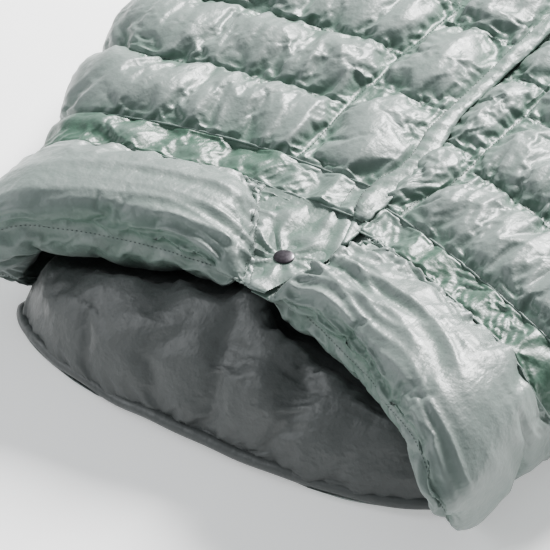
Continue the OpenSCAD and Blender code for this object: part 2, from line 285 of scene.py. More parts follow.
def half_grid(side):
    """Starting shape, slack, pins and pressure of one half's outer cloth."""
    rows = collar_rows(side)
    for t in np.arange(CHANNEL_ROWS) / CHANNEL_ROWS:
        ends = [float(curve(table, side, 0)) for table in (LOW, HIGH)]
        h = column_h(side, np.array(ends[0] + (ends[1] - ends[0]) * t))
        low, high = curve(LOW, side, h), curve(HIGH, side, h)
        rows.append((h, low + (high - low) * t, 1.2 + lift(side, h, low)))
    for s in BODY_STEPS:
        h = column_h(side, np.array(FIRST_SEAM + s))
        high = curve(HIGH, side, h)
        d = FIRST_SEAM + s + (high - FIRST_SEAM) * math.exp(-s / SEAM_BLEND)
        rows.append((h, d, lift(side, h, d)))
    H, D, N = (np.array([r[k] for r in rows]) for k in range(3))
    total, cols = H.shape
    first_body = TUBE_ROWS + CHANNEL_ROWS
    pin = np.zeros((total, cols))
    puff = np.ones((total, cols))
    seam_rows = [first_body + i for i in BODY_SEAMS]
    slit = D < D_SLIT
    pin[0] = pin[TUBE_ROWS] = pin[-1] = 1
    pin[:, 0] = pin[:, -1] = 1
    pin[:, -3:] = 1
    pin[:TUBE_ROWS, :EDGE_COLS + 1] = 1
    pin[LIP_SEAM] = 1
    pin[first_body:, EDGE_COLS][slit[first_body:, EDGE_COLS]] = 1
    strip = np.arange(cols) <= STRIP_COLS
    pin[first_body:][slit[first_body:] & strip] = 1
    for r in seam_rows:
        own = ~slit[r] | (np.arange(cols) >= EDGE_COLS) | (r == first_body)
        pin[r][own] = 1
    tube_seams = []
    for k in range(TUBE_SEAM_COUNT):
        seam_d = TUBE_SEAM_FIRST[side] + TUBE_SEAM_PITCH * k
        r = first_body + int(np.argmin(np.abs(D[first_body:, 0] - seam_d)))
        if D[r, 0] < D_SLIT - 20:
            pin[r, :EDGE_COLS] = 1
            tube_seams.append(r)
    puff[TUBE_ROWS:first_body] = CHANNEL_PUFF

    # Chambers start a little puffed, so that the cloth swells outwards.
    bulge = np.zeros_like(N)
    tube_edge = H[:, STRIP_COLS:STRIP_COLS + 1]
    across = np.clip((H - tube_edge) / (H[:, EDGE_COLS:EDGE_COLS + 1] - tube_edge), 0, 1)
    in_tube = np.arange(cols) < EDGE_COLS
    tube_ends = sorted(set(tube_seams) | {first_body, total - 1})
    for seams, where in ((seam_rows, ~in_tube), (tube_ends, in_tube)):
        for a, b in zip(seams, seams[1:]):
            t = np.arange(b - a + 1) / (b - a)
            bulge[a:b + 1, where] = (SEED_BULGE * np.sin(np.pi * t) ** 0.6)[:, None]
    narrow = np.where(in_tube, np.sin(np.pi * across) ** 0.6, 1)
    from_tube = smooth((np.arange(cols) - EDGE_COLS) / 5)
    bulge *= np.where(slit, np.where(in_tube, narrow, from_tube), 1)
    loose = 1 - pin
    folds = 1.6 * mid_noise(2.1 * H + 900 * side, 0.55 * D) + 1.2 * mid_noise(H + 300, D + 900 * side)
    N = N + bulge + loose * folds

    # The cloth is cut larger than the space between its seams, the channel's the least.
    slack = np.ones((total, cols))
    slack[:TUBE_ROWS] = COLLAR_SLACK
    slack[TUBE_ROWS:first_body] = CHANNEL_SLACK
    start = place(side, H, D, N)
    return {"H": H, "D": D, "start": start, "slack": slack, "pin": pin, "puff": puff,
            "first_body": first_body, "seam_rows": seam_rows, "tube_seams": tube_seams, "side": side}


PRESSURE = 7.0
FRAMES = 20
EXCESS = 0.055
STIFF = 12.0
CLOTH_MASS = 0.04


def simulate(start, slack, pin, puff, flip, cap=30.0, bend=0.12):
    """Swells a grid of cloth between its pinned seams and returns the new points."""
    rows, cols = pin.shape
    obj = new_mesh("cloth", start.reshape(-1, 3), grid_faces(rows, cols, flip))
    for label, weights in (("pin", pin), ("puff", puff), ("tight", 1 - slack)):
        group = obj.vertex_groups.new(name=label)
        flat = np.round(weights.ravel(), 2)
        for value in np.unique(flat):
            if value > 0:
                group.add(np.flatnonzero(flat == value).tolist(), float(value), "REPLACE")
    cloth = obj.modifiers.new("Cloth", "CLOTH")
    cs = cloth.settings
    cs.quality = 5
    cs.mass = CLOTH_MASS
    cs.tension_stiffness = STIFF
    cs.compression_stiffness = STIFF
    cs.shear_stiffness = STIFF * 0.4
    cs.bending_stiffness = bend
    cs.tension_damping = cs.compression_damping = cs.shear_damping = 3
    cs.bending_damping = 0.3
    cs.air_damping = 1.5
    cs.vertex_group_mass = "pin"
    cs.pin_stiffness = 1
    cs.use_pressure = True
    cs.uniform_pressure_force = PRESSURE
    cs.vertex_group_pressure = "puff"
    cs.vertex_group_shrink = "tight"
    cs.shrink_min = -EXCESS
    cs.shrink_max = 0
    cs.effector_weights.gravity = 0
    cloth.collision_settings.use_collision = False
    cloth.collision_settings.use_self_collision = False
    cloth.point_cache.frame_start = 1
    cloth.point_cache.frame_end = FRAMES
    scene = bpy.context.scene
    for f in range(1, FRAMES + 1):
        scene.frame_set(f)
    shown = obj.evaluated_get(bpy.context.evaluated_depsgraph_get())
    co = np.empty(rows * cols * 3, np.float32)
    shown.data.vertices.foreach_get("co", co)
    bpy.data.objects.remove(obj)
    scene.frame_set(1)
    moved = co.reshape(rows, cols, 3).astype(float) - start
    size = np.linalg.norm(moved, axis=-1, keepdims=True)
    return start + moved * np.minimum(1, cap * MM / np.maximum(size, 1e-9))


# ---- meshes ----

def settle(obj, thickness):
    """Applies one subdivision and a thickness to a piece, so that no modifier is left on it."""
    sub = obj.modifiers.new("Subdivide", "SUBSURF")
    sub.levels = sub.render_levels = 1
    solid = obj.modifiers.new("Thickness", "SOLIDIFY")
    solid.thickness = thickness * MM
    solid.offset = -1
    mesh = bpy.data.meshes.new_from_object(obj.evaluated_get(bpy.context.evaluated_depsgraph_get()))
    obj.modifiers.clear()
    old = obj.data
    obj.data = mesh
    bpy.data.meshes.remove(old)
    mesh.name = obj.name
    mesh.polygons.foreach_set("use_smooth", [True] * len(mesh.polygons))


def unit(v):
    """Vectors of length one along the last axis."""
    return v / np.maximum(np.linalg.norm(v, axis=-1, keepdims=True), 1e-12)


def normals_of(points, side):
    """Outward normal at every point of a grid."""
    return unit(np.cross(np.gradient(points, axis=0), np.gradient(points, axis=1)) * side) * -1


def refine(grid):
    """Twice as many rows and columns, on a smooth surface through the same points."""
    for _ in range(2):
        ends = np.concatenate([2 * grid[:1] - grid[1:2], grid, 2 * grid[-1:] - grid[-2:-1]])
        middle = (9 * (ends[1:-2] + ends[2:-1]) - ends[:-3] - ends[3:]) / 16
        finer = np.empty((2 * grid.shape[0] - 1, *grid.shape[1:]))
        finer[::2], finer[1::2] = grid, middle
        grid = finer.swapaxes(0, 1)
    return grid


def closed_cloth(name, points, normal, side, thickness=0.8, fold=None, ring=False):
    """A closed piece from a grid of points: its face, its back and its rim."""
    rows, cols = points.shape[:2]
    used = rows - 1 if ring else rows
    face = grid_faces(rows, cols, side == LEFT)
    if ring:
        face = np.where(face >= used * cols, face - used * cols, face)
    count = used * cols
    out = points[:used].reshape(-1, 3)
    nrm = normal[:used].reshape(-1, 3)
    back = face[:, ::-1] + count
    index = np.arange(count).reshape(used, cols)
    loop = [np.append(index[:, 0], index[0, 0])] if ring else []
    if ring:
        loop.append(np.append(index[:, -1], index[0, -1])[::-1])
    else:
        loop.append(np.concatenate([index[:, 0], index[-1, 1:], index[-2::-1, -1], index[0, -2::-1]]))
    rims = []
    for edge in loop:
        a, b = edge[:-1], edge[1:]
        quad = np.stack([a, b, b + count, a + count], axis=1)
        rims.append(quad if side == LEFT else quad[:, ::-1])
    faces = np.concatenate([face, back, *rims])
    obj = new_mesh(name, np.concatenate([out, out - nrm * thickness * MM]), faces)
    obj.data.normals_split_custom_set_from_vertices([tuple(v) for v in np.concatenate([nrm, -nrm])])
    # Each point's painted shade, which darkens the cloth's colour.
    if fold is not None:
        set_fold(obj, np.concatenate([fold[:used].ravel()] * 2))
    return obj


def resample(line, pitch):
    """Points every pitch millimetres along a line, each with the line's other columns."""
    length = np.concatenate([[0], np.cumsum(np.linalg.norm(np.diff(line[:, :3], axis=0), axis=1))])
    count = max(2, int(length[-1] / (pitch * MM)) + 1)
    at = np.linspace(0, length[-1], count)
    return np.stack([np.interp(at, length, line[:, k]) for k in range(line.shape[1])], axis=1)


def tube(name, rings, start_cap=True):
    """A closed tube through rings of points."""
    count, sides = rings.shape[:2]
    i, j = np.meshgrid(np.arange(count - 1), np.arange(sides), indexing="ij")
    i, j, k = i.ravel() * sides, j.ravel(), ((j + 1) % sides).ravel()
    faces = [tuple(f) for f in np.stack([i + j, i + k, i + k + sides, i + j + sides], axis=1)]
    if start_cap:
        faces.append(tuple(range(sides))[::-1])
    faces.append(tuple((count - 1) * sides + m for m in range(sides)))
    obj = new_mesh(name, rings.reshape(-1, 3), faces)
    fix_normals(obj)
    return obj


def band(name, line, ups, half_w, half_t, sides=10, pitch=2.5):
    """A flattened cord of cloth along a line, with ups pointing out of the cloth under it."""
    both = resample(np.concatenate([line, ups], axis=1), pitch)
    p, up = both[:, :3], unit(both[:, 3:])
    tangent = unit(np.gradient(p, axis=0))
    across = unit(np.cross(tangent, up))
    up = np.cross(across, tangent)
    n = len(p)
    share = np.linspace(0, 1, n)
    ends = np.minimum(1, np.minimum(share, 1 - share) * n / 4 + 0.25)
    angle = np.arange(sides) / sides * 2 * np.pi
    ring = (across[:, None] * (np.cos(angle)[:, None] * (half_w * ends)[:, None, None])
            + up[:, None] * (np.sin(angle)[:, None] * (half_t * ends)[:, None, None])) * MM
    return tube(name, p[:, None] + ring)


def fix_normals(obj):
    """Points every face of a closed piece outwards."""
    bm = bmesh.new()
    bm.from_mesh(obj.data)
    bmesh.ops.recalc_face_normals(bm, faces=bm.faces[:])
    bm.to_mesh(obj.data)
    bm.free()


def stitches(name, lines, pitch=3.4, length=2.4, thick=0.36, proud=0.25):
    """Small spindles of thread along lines, each a pair of points and outward directions."""
    points, faces = [], []
    for line, ups in lines:
        both = resample(np.concatenate([line, ups], axis=1), pitch)
        p, up = both[:, :3], unit(both[:, 3:])
        tangent = unit(np.gradient(p, axis=0))
        across = unit(np.cross(tangent, up))
        for c, t, u, a in zip(p, tangent, up, across):
            c = c + u * proud * MM
            base = len(points)
            points += [c - t * length / 2 * MM, c + t * length / 2 * MM, c + a * thick * MM,
                       c + u * thick * MM, c - a * thick * MM, c - u * thick * MM]
            for k in range(4):
                m, n = base + 2 + k, base + 2 + (k + 1) % 4
                faces += [(base, n, m), (base + 1, m, n)]
    obj = new_mesh(name, points, faces)
    fix_normals(obj)
    return obj


# ---- materials ----

class Nodes:
    """Short calls for building one material's nodes."""

    def __init__(self, name):
        self.material = bpy.data.materials.new(name)
        self.material.use_nodes = True
        self.tree = self.material.node_tree
        self.shader = self.tree.nodes["Principled BSDF"]
        self.place = self.add("ShaderNodeTexCoord").outputs["Object"]

    def add(self, kind, **values):
        node = self.tree.nodes.new(kind)
        for key, value in values.items():
            if hasattr(node, key):
                setattr(node, key, value)
            else:
                node.inputs[key].default_value = value
        return node

    def link(self, a, b):
        self.tree.links.new(a, b)

    def noise(self, scale, detail=3.0, rough=0.5, stretch=None):
        tex = self.add("ShaderNodeTexNoise", Scale=scale, Detail=detail, Roughness=rough)
        source = self.place
        if stretch:
            mapping = self.add("ShaderNodeMapping")
            mapping.inputs["Scale"].default_value = stretch
            self.link(source, mapping.inputs["Vector"])
            source = mapping.outputs["Vector"]
        self.link(source, tex.inputs["Vector"])
        return tex.outputs["Fac"]

    def mix(self, fac, a, b):
        node = self.add("ShaderNodeMix", data_type="RGBA")
        self.link(fac, node.inputs["Factor"])
        for value, key in ((a, "A"), (b, "B")):
            socket = [s for s in node.inputs if s.name == key and s.type == "RGBA"][0]
            if isinstance(value, tuple):
                socket.default_value = (*value, 1)
            else:
                self.link(value, socket)
        return [s for s in node.outputs if s.type == "RGBA"][0]

    def ramp(self, source, low, high, out_low=0.0, out_high=1.0):
        node = self.add("ShaderNodeMapRange")
        values = {"From Min": low, "From Max": high, "To Min": out_low, "To Max": out_high}
        for key, value in values.items():
            node.inputs[key].default_value = value
        self.link(source, node.inputs["Value"])
        return node.outputs["Result"]

    def bump(self, height, strength, distance, before=None):
        node = self.add("ShaderNodeBump", Strength=strength, Distance=distance)
        self.link(height, node.inputs["Height"])
        if before:
            self.link(before, node.inputs["Normal"])
        return node.outputs["Normal"]


def fabric(name, colour, deep, rough=0.42, sheen=0.06, crinkle=0.4, specular=0.5, weave=0.08):
    """Satin downproof cloth: colour on the crowns, a darker painted shade in the gathers, a fine weave
    and crinkles.
    """
    n = Nodes(name)
    fold = n.add("ShaderNodeAttribute", attribute_name="fold").outputs["Fac"]
    cloud = n.noise(14.0, 4.0)
    tint = n.mix(n.ramp(cloud, 0.35, 0.7), colour, tuple(c * 0.9 for c in colour))
    # The deep colour is painted shade, mixed in by the stored attribute where the cloth lies in a gather
    # or hollow.
    base = n.mix(n.ramp(fold, 0.0, 1.0), tint, deep)
    n.link(base, n.shader.inputs["Base Color"])
    speck = n.noise(160.0, 2.0)
    n.link(n.ramp(speck, 0.3, 0.7, rough - 0.05, rough + 0.07), n.shader.inputs["Roughness"])
    n.shader.inputs["Sheen Weight"].default_value = sheen
    n.shader.inputs["Sheen Roughness"].default_value = 0.4
    n.shader.inputs["Specular IOR Level"].default_value = specular
    threads = []
    for turn in (0.0, math.pi / 2):
        mapping = n.add("ShaderNodeMapping")
        mapping.inputs["Rotation"].default_value = (0, 0, turn + 0.3)
        n.link(n.place, mapping.inputs["Vector"])
        wave = n.add("ShaderNodeTexWave", Scale=700.0, Distortion=0.6, Detail=1.0)
        n.link(mapping.outputs["Vector"], wave.inputs["Vector"])
        threads.append(wave.outputs["Fac"])
    cloth = n.add("ShaderNodeMath", operation="ADD")
    n.link(threads[0], cloth.inputs[0])
    n.link(threads[1], cloth.inputs[1])
    normal = n.bump(n.noise(34.0, 4.0, 0.6, (1.0, 0.45, 1.0)), crinkle, 0.006)
    normal = n.bump(n.noise(95.0, 3.0, 0.55), crinkle, 0.0022, normal)
    normal = n.bump(n.noise(330.0, 2.0, 0.5), crinkle * 0.6, 0.0007, normal)
    normal = n.bump(cloth.outputs[0], weave, 0.0002, normal)
    n.link(normal, n.shader.inputs["Normal"])
    return n.material


def metal(name):
    """Dark plated metal with a little wear."""
    n = Nodes(name)
    wear = n.noise(260.0, 4.0)
    n.link(n.mix(n.ramp(wear, 0.4, 0.75), (0.027, 0.022, 0.028), (0.045, 0.038, 0.047)),
           n.shader.inputs["Base Color"])
    n.shader.inputs["Metallic"].default_value = 0.75
    n.link(n.ramp(wear, 0.3, 0.7, 0.27, 0.4), n.shader.inputs["Roughness"])
    n.shader.inputs["Coat Weight"].default_value = 0.35
    n.link(n.bump(n.noise(900.0, 2.0), 0.08, 0.0002), n.shader.inputs["Normal"])
    return n.material


# Each cloth's second colour is its painted shade, used in gathers, hollows, the channel and the tab.
MINT = fabric("mint_satin", (0.158, 0.195, 0.181), (0.07, 0.122, 0.095), rough=0.4)
GREEN = fabric("green_satin", (0.14, 0.19, 0.168), (0.036, 0.085, 0.057), rough=0.4)
GREY = fabric("grey_liner", (0.062, 0.068, 0.067), (0.032, 0.037, 0.036), rough=0.42, sheen=0.05)
EDGING = fabric("mint_edging", (0.14, 0.19, 0.168), (0.062, 0.11, 0.084), rough=0.4, crinkle=0.5)
THREAD = fabric("thread", (0.035, 0.056, 0.050), (0.022, 0.038, 0.033), rough=0.6, crinkle=0.1)
GUNMETAL = metal("gunmetal")


def paint(obj, material):
    """Gives a piece one material."""
    obj.data.materials.clear()
    obj.data.materials.append(material)


def sleeve(name, g, points, normal, rows):
    """A bound edge: a flat tube of cloth round the strip of columns beside the free edge."""
    p, up = points[rows, :STRIP_COLS + 1], normal[rows, :STRIP_COLS + 1]
    d = g["D"][rows, 0][:, None]
    share = np.arange(STRIP_COLS + 1) / STRIP_COLS
    out = unit(p[:, :1] - p[:, 1:2])
    wrap = out * (1.4 * (1 - share) ** 6)[None, :, None]
    pucker = 1 + 0.3 * np.sin(2 * np.pi * (d + 6 * share) / 13 + 2.5 * mid_noise(d, share * 30 + 70))
    swell = np.sin(np.pi * (0.06 + 0.94 * share)) ** 0.7 * pucker * (0.3 + 0.7 * smooth((d - 76) / 60))
    top = p + (wrap + up * (0.5 + 2.1 * swell)[..., None]) * MM
    low = p + (wrap - up * (0.7 + 0.5 * swell)[..., None]) * MM
    obj = tube(name, np.concatenate([top, low[:, ::-1]], axis=1))
    # Painted shade, deeper where the binding's puckers dip and lighter where they swell.
    valley_shade = np.clip(0.35 - 1.1 * (pucker - 1), 0, 1)
    set_fold(obj, np.concatenate([valley_shade, valley_shade[:, ::-1]], axis=1).ravel())
    return obj


def set_fold(obj, values=None):
    """Stores each point's painted shade, how deep in a gather it lies, which darkens the cloth's colour.
    """
    attribute = obj.data.attributes.get("fold") or obj.data.attributes.new("fold", "FLOAT", "POINT")
    count = len(obj.data.vertices)
    attribute.data.foreach_set("value", np.zeros(count, np.float32) if values is None
                               else values.astype(np.float32))


# ---- which body each piece moves with ----
LAPEL = {LEFT: "left_lapel", RIGHT: "right_lapel"}
NAME = {LEFT: "left", RIGHT: "right"}


def fold_with(obj, side):
    """Bakes the piece's placement into its points."""
    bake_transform(obj)


def peel_with(obj):
    """Bakes the piece's placement into its points."""
    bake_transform(obj)


# ---- the two halves of the top ----
TOP_FREE, TOP_GIVE = 116.0, 9.0


def swollen(g):
    """Points of one half after its simulation, kept off the floor and below the top."""
    points = simulate(g["start"], g["slack"], g["pin"], g["puff"], g["side"] == LEFT)
    points[..., 2] = np.maximum(points[..., 2], 1.2 * MM)
    over = np.maximum(points[..., 2] - TOP_FREE * MM, 0)
    points[..., 2] += TOP_GIVE * MM * np.tanh(over / (TOP_GIVE * MM)) - over
    return points


def crease(angle):
    """A wave from -1 to 1 with sharp crests and round hollows, as in tight cloth."""
    return 1 - 2 * np.abs(np.sin(angle / 2))


def seam_gathers(g, H, D):
    """Puckers at every seam and longer folds that run out of it, in millimetres."""
    rows = np.arange(H.shape[0])
    out = np.zeros(H.shape)
    for r in g["seam_rows"] + g["tube_seams"] + [TUBE_ROWS]:
        seam_d = D[2 * r]
        reach = np.abs(D - seam_d)
        near = np.exp(-reach / 6.5) * (1 - np.exp(-reach / 1.6))
        far = np.exp(-reach / 24) * (1 - np.exp(-reach / 5))
        strong = smooth(0.5 + 1.3 * mid_noise(H * 0.7, seam_d + 600))
        lean = H + 0.5 * (D - seam_d) * mid_noise(H * 0.4, seam_d + 90)
        pucker = 1.2 * near * np.sin(2 * np.pi * H / 11 + 2.2 * mid_noise(H, seam_d + 40))
        folds = 2.1 * far * strong * crease(2 * np.pi * lean / 21 + 2.4 * mid_noise(H, seam_d))
        own = rows <= 2 * TUBE_ROWS if r == TUBE_ROWS else rows >= 2 * g["first_body"]
        own = own & (rows > 1.1 * TUBE_ROWS)
        out += own[:, None] * (pucker + folds)
    return out


def channel_gathers(g, H, D):
    """Pleats across the drawn-up channel, deepest at its lower seam."""
    low, high = curve(LOW, g["side"], H), curve(HIGH, g["side"], H)
    warp = 5 * mid_noise(H + 300, D) + 3 * fine_noise(H, D + 300)
    slant = 0.5 * (D - low)
    pleat = crease(2 * np.pi * (H + slant + 0.5 * warp) / 9.5 + 2.2 * mid_noise(D, H))
    t = np.clip((D - low) / (high - low), 0, 1)
    patchy = 0.25 + 0.75 * smooth(0.5 + mid_noise(H + 700, D) * 1.4)
    depth = {LEFT: 0.9, RIGHT: 1.25}[g["side"]]
    out = depth * pleat * patchy * np.sin(np.pi * t) ** 0.5 * (0.15 + 0.85 * (1 - t) ** 1.8)
    out += 1.3 * np.sin(np.pi * t) * mid_noise(0.5 * H + 200, 2.4 * D)
    out[:2 * TUBE_ROWS] = out[2 * g["first_body"] + 1:] = 0
    return out


def collar_folds(g, H):
    """Long folds along the collar that run together at the tab's stitched line."""
    side = g["side"]
    ring = 2 * TUBE_ROWS
    turn = np.arange(H.shape[0])[:, None] / ring
    across = 300 * turn
    from_tab = np.maximum(H - first_h(side, np.full(H.shape, 50.0)), 0)
    held = smooth(from_tab / 6)
    sharp = crease(2 * np.pi * across / 14 + 2.6 * mid_noise(0.7 * H, across + 50 * side))
    broad = crease(2 * np.pi * (across + 0.10 * H) / 27 + 2.8 * mid_noise(0.45 * H, across + 400 * side))
    patchy = smooth(0.55 + 1.2 * mid_noise(0.5 * H + 80 * side, 1.5 * across))
    near, far, short, long = {LEFT: (1.2, 2.0, 52, 120), RIGHT: (2.1, 3.4, 75, 185)}[side]
    out = near * sharp * np.exp(-from_tab / short) + far * broad * np.exp(-from_tab / long) * patchy
    out = out * held
    shown = smooth((turn - 0.42) / 0.06) * (1 - smooth((turn - 0.93) / 0.07))
    return np.where(turn <= 1, out * shown, 0)


def gathers(g, points, normal, H, D):
    """Fine puckers, pleats and folds on the refined cloth."""
    out = seam_gathers(g, H, D) + channel_gathers(g, H, D) + collar_folds(g, H)
    return points + normal * (out * MM)[..., None]


def tab_creases(points, normal):
    """Creases that run out from the snap, held by the tab's stitched line."""
    rows, cols = slice(TUBE_ROWS, 2 * TUBE_ROWS + 1), slice(0, 2 * EDGE_COLS + 10)
    x = points[rows, cols, 0] / MM
    y = points[rows, cols, 1] / MM - Y_NECK - SNAP_D
    r, a = np.hypot(x, y), np.arctan2(y, x)
    towards = 0.4 + 0.6 * smooth((np.cos(a - 2.9) + 0.35) / 1.2)
    shape = crease(9 * a + 1.8 * np.sin(2 * a) + 0.03 * r + 0.9 * mid_noise(x * 2, y * 2)) * towards
    fade = smooth((r - 7.5) / 5) * (1 - smooth((r - 26) / 34))
    move = (2.1 * shape * fade + 1.6 * mid_noise(x * 1.8, y * 1.8) * smooth((r - 12) / 16)) * MM
    points[rows, cols] += normal[rows, cols] * move[..., None]


def hollow_shade(g, points, normal):
    """Painted shade: how far below its surroundings each point lies, from 0 to 1, which darkens the
    cloth's colour.
    """
    level = place(g["side"], g["H"], g["D"], 0)
    proud = np.einsum("ijk,ijk->ij", points - level, normal) / MM
    swollen_by = np.einsum("ijk,ijk->ij", points - g["start"], normal) / MM
    proud[:TUBE_ROWS] = 6.5 + swollen_by[:TUBE_ROWS]
    return (1 - smooth((proud + 1) / 11)) * (1 - smooth((g["H"] - 230) / 40))


def part(obj, side, material, replaces=(), bend=fold_with):
    """Finishes one cloth piece: its finish, what it stands for and how it moves."""
    paint(obj, material)
    if not obj.data.attributes.get("fold"):
        set_fold(obj)
    if replaces:
        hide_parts(*replaces)
    if bend is fold_with:
        fold_with(obj, side)
    elif bend is peel_with:
        peel_with(obj)
    else:
        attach(obj, bend)


TAB_NODES = {LEFT: ("left_tab", "left_tab_base", "left_tab_stiffener"),
             RIGHT: ("right_tab", "right_tab_stiffener")}
BODY_NODES = {LEFT: ("side_shell", "top_shell", "left_baffle_walls"),
              RIGHT: ("side_down", "top_down", "right_baffle_walls")}


def close_ring(points, normal, last):
    """The collar's first and last rows are one seam, whose normal points out of the channel."""
    points[0] = points[last]
    normal[0] = normal[last]


COLLAR_END_COLS = 16
# Painted shade: how much it lessens per millimetre the gathers raise the cloth, and how much darker the
# tab is painted, with a stronger lift on its crests.
CREASE_SHADE_GAIN = 0.17
TAB_SHADE, TAB_CREASE_SHADE_GAIN = 0.32, 0.13


def painted_cloth_shade(g, points, normal):
    """Painted shade: how deep in a gather the cloth lies. The channel is painted deep in shade all over,
    except near the tab.
    """
    fold = hollow_shade(g, points, normal)
    rows = slice(TUBE_ROWS, g["first_body"] + 1)
    away = smooth((g["H"][rows] - 26) / 60)
    cloudy = smooth(0.5 + mid_noise(g["H"][rows], g["D"][rows] * 2))
    fold[rows] = 0.12 + 0.88 * away * (0.75 + 0.25 * cloudy)
    return fold


def half(side):
    """Outer cloth of one half, with its edges and stitching. Returns its grid and points."""
    g = half_grid(side)
    points = swollen(g)
    normal = normals_of(points, side)
    fold = painted_cloth_shade(g, points, normal)
    first_body = g["first_body"]
    name = NAME[side]
    split = EDGE_COLS + COLLAR_END_COLS

    points_2, fold_2 = refine(points), refine(fold[..., None])[..., 0]
    fine_h, fine_d = refine(g["H"][..., None])[..., 0], refine(g["D"][..., None])[..., 0]
    plain, up = points_2.copy(), normals_of(points_2, side)
    points_2 = gathers(g, points_2, up, fine_h, fine_d)
    if side == LEFT:
        tab_creases(points_2, normals_of(points_2, side))
    raised = np.einsum("ijk,ijk->ij", points_2 - plain, up) / MM
    on_tab = np.zeros(fold_2.shape)
    on_tab[:2 * TUBE_ROWS, :2 * EDGE_COLS] = 1
    # Painted shade: the tab is darker all over, crests raised by the gathers are lighter and their
    # hollows darker.
    fold_2 = np.clip(fold_2 + TAB_SHADE * on_tab - (CREASE_SHADE_GAIN + TAB_CREASE_SHADE_GAIN * on_tab) * raised, 0, 1)
    normal_2 = normals_of(points_2, side)
    ring_end, body_start, edge_end = 2 * TUBE_ROWS, 2 * first_body, 2 * EDGE_COLS
    neck_end = 2 * g["seam_rows"][NECK_CHAMBERS]
    close_ring(points_2, normal_2, ring_end)
    points, normal = points_2[::2, ::2], normal_2[::2, ::2]

    def cloth(label, rows, cols, **more):
        return closed_cloth(f"{name}_{label}", points_2[rows, cols], normal_2[rows, cols], side,
                            fold=fold_2[rows, cols], **more)

    ring, nodes = slice(0, ring_end + 1), TAB_NODES[side]
    corner = peel_with if side == LEFT else LAPEL[side]
    part(cloth("collar_cloth", ring, slice(2 * split, None), ring=True), side, MINT,
         (f"{name}_collar",))
    part(cloth("collar_end", ring, slice(edge_end, 2 * split + 1), ring=True), side, MINT,
         (f"{name}_collar_down",), corner)
    part(cloth("tab_cloth", ring, slice(0, edge_end + 1), ring=True, thickness=0.4), side,
         MINT, nodes, corner)
    part(cloth("channel_cloth", slice(ring_end, body_start + 1), slice(None)), side, GREEN,
         (f"{name}_channel", f"{name}_elastic"))
    part(cloth("shoulder_cloth", slice(body_start, neck_end + 1), slice(None)), side, MINT,
         (f"{name}_shell", f"{name}_down", f"{name}_edge_tube", f"{name}_edge_down"))
    body = closed_cloth(f"{name}_body_cloth", points_2[neck_end::2, ::2], normal_2[neck_end::2, ::2],
                        side, fold=fold_2[neck_end::2, ::2])
    part(body, side, MINT, BODY_NODES[side])
    seam_trim(side, g, points, normal)
    return g, points


def seam_trim(side, g, points, normal):
    """Folded ridges on the channel's seams, the edge binding and the rows of stitching."""
    name, first_body = NAME[side], g["first_body"]
    neck_end = g["seam_rows"][NECK_CHAMBERS]

    def row(r, cols=slice(None), proud=0.0):
        return points[r, cols] + normal[r, cols] * proud * MM, normal[r, cols]

    def column(c, rows, proud=0.0):
        return points[rows, c] + normal[rows, c] * proud * MM, normal[rows, c]

    for label, r in (("low", TUBE_ROWS), ("high", first_body)):
        line, ups = row(r, slice(STRIP_COLS, -8), 0.4)
        ridge = band(f"{name}_{label}_ridge", line, ups, 0.8, 1.2, sides=8)
        part(ridge, side, EDGING)
    along = np.arange(len(g["D"]))
    bound = (along >= TUBE_ROWS) & (g["D"][:, 0] < D_SLIT)
    binding = sleeve(f"{name}_edge_binding", g, points, normal, np.flatnonzero(bound))
    part(binding, side, MINT, (f"{name}_binding",))
    if side == LEFT:
        tip = (along > TUBE_ROWS // 2) & (along <= TUBE_ROWS) & (g["D"][:, 0] > 76)
        corner = sleeve("left_tab_binding", g, points, normal, np.flatnonzero(tip))
        part(corner, side, MINT, (), peel_with)

    lines = [column(EDGE_COLS, slice(first_body + 1, neck_end), 0.3)]
    lines += [row(r, slice(EDGE_COLS, -10), 0.3) for r in g["seam_rows"][1:]]
    lines += [row(r, slice(STRIP_COLS, EDGE_COLS), 0.3) for r in g["tube_seams"]]
    lines += [row(LIP_SEAM, slice(EDGE_COLS + 8, -12), 0.3)]
    lines += [column(STRIP_COLS, slice(TUBE_ROWS, neck_end), 1.0)]
    lines += [column(STRIP_COLS + 3, slice(TUBE_ROWS + 2, first_body), 0.5)]
    rows_on_top = slice(TUBE_ROWS // 2 + 3, TUBE_ROWS)
    sewn = stitches(f"{name}_seam_stitches", lines)
    part(sewn, side, THREAD)
    tab_lines = [column(c, rows_on_top, 0.35) for c in (EDGE_COLS, EDGE_COLS + 2)]
    tab_sewn = stitches(f"{name}_tab_stitches", tab_lines, pitch=3.0, length=2.1, thick=0.38)
    part(tab_sewn, side, THREAD, bend=peel_with if side == LEFT else LAPEL[side])


LEFT_GRID, LEFT_POINTS = half(LEFT)
RIGHT_GRID, RIGHT_POINTS = half(RIGHT)


# ---- liners, the under layer and the foot ----
UNDER_Z, LINER_LOW = 23.0, 24.0
LINER_ROW = 9.5
LINER_FIRST = 95.0
LINER_FLOOR_W = 46.0


def puffs(d, size):
    """Swell of the chambers at a distance from the neck, from 0 on a seam to size."""
    t = (d - FIRST_SEAM) / CHAMBER
    return size * np.abs(np.sin(np.pi * t)) ** 0.6


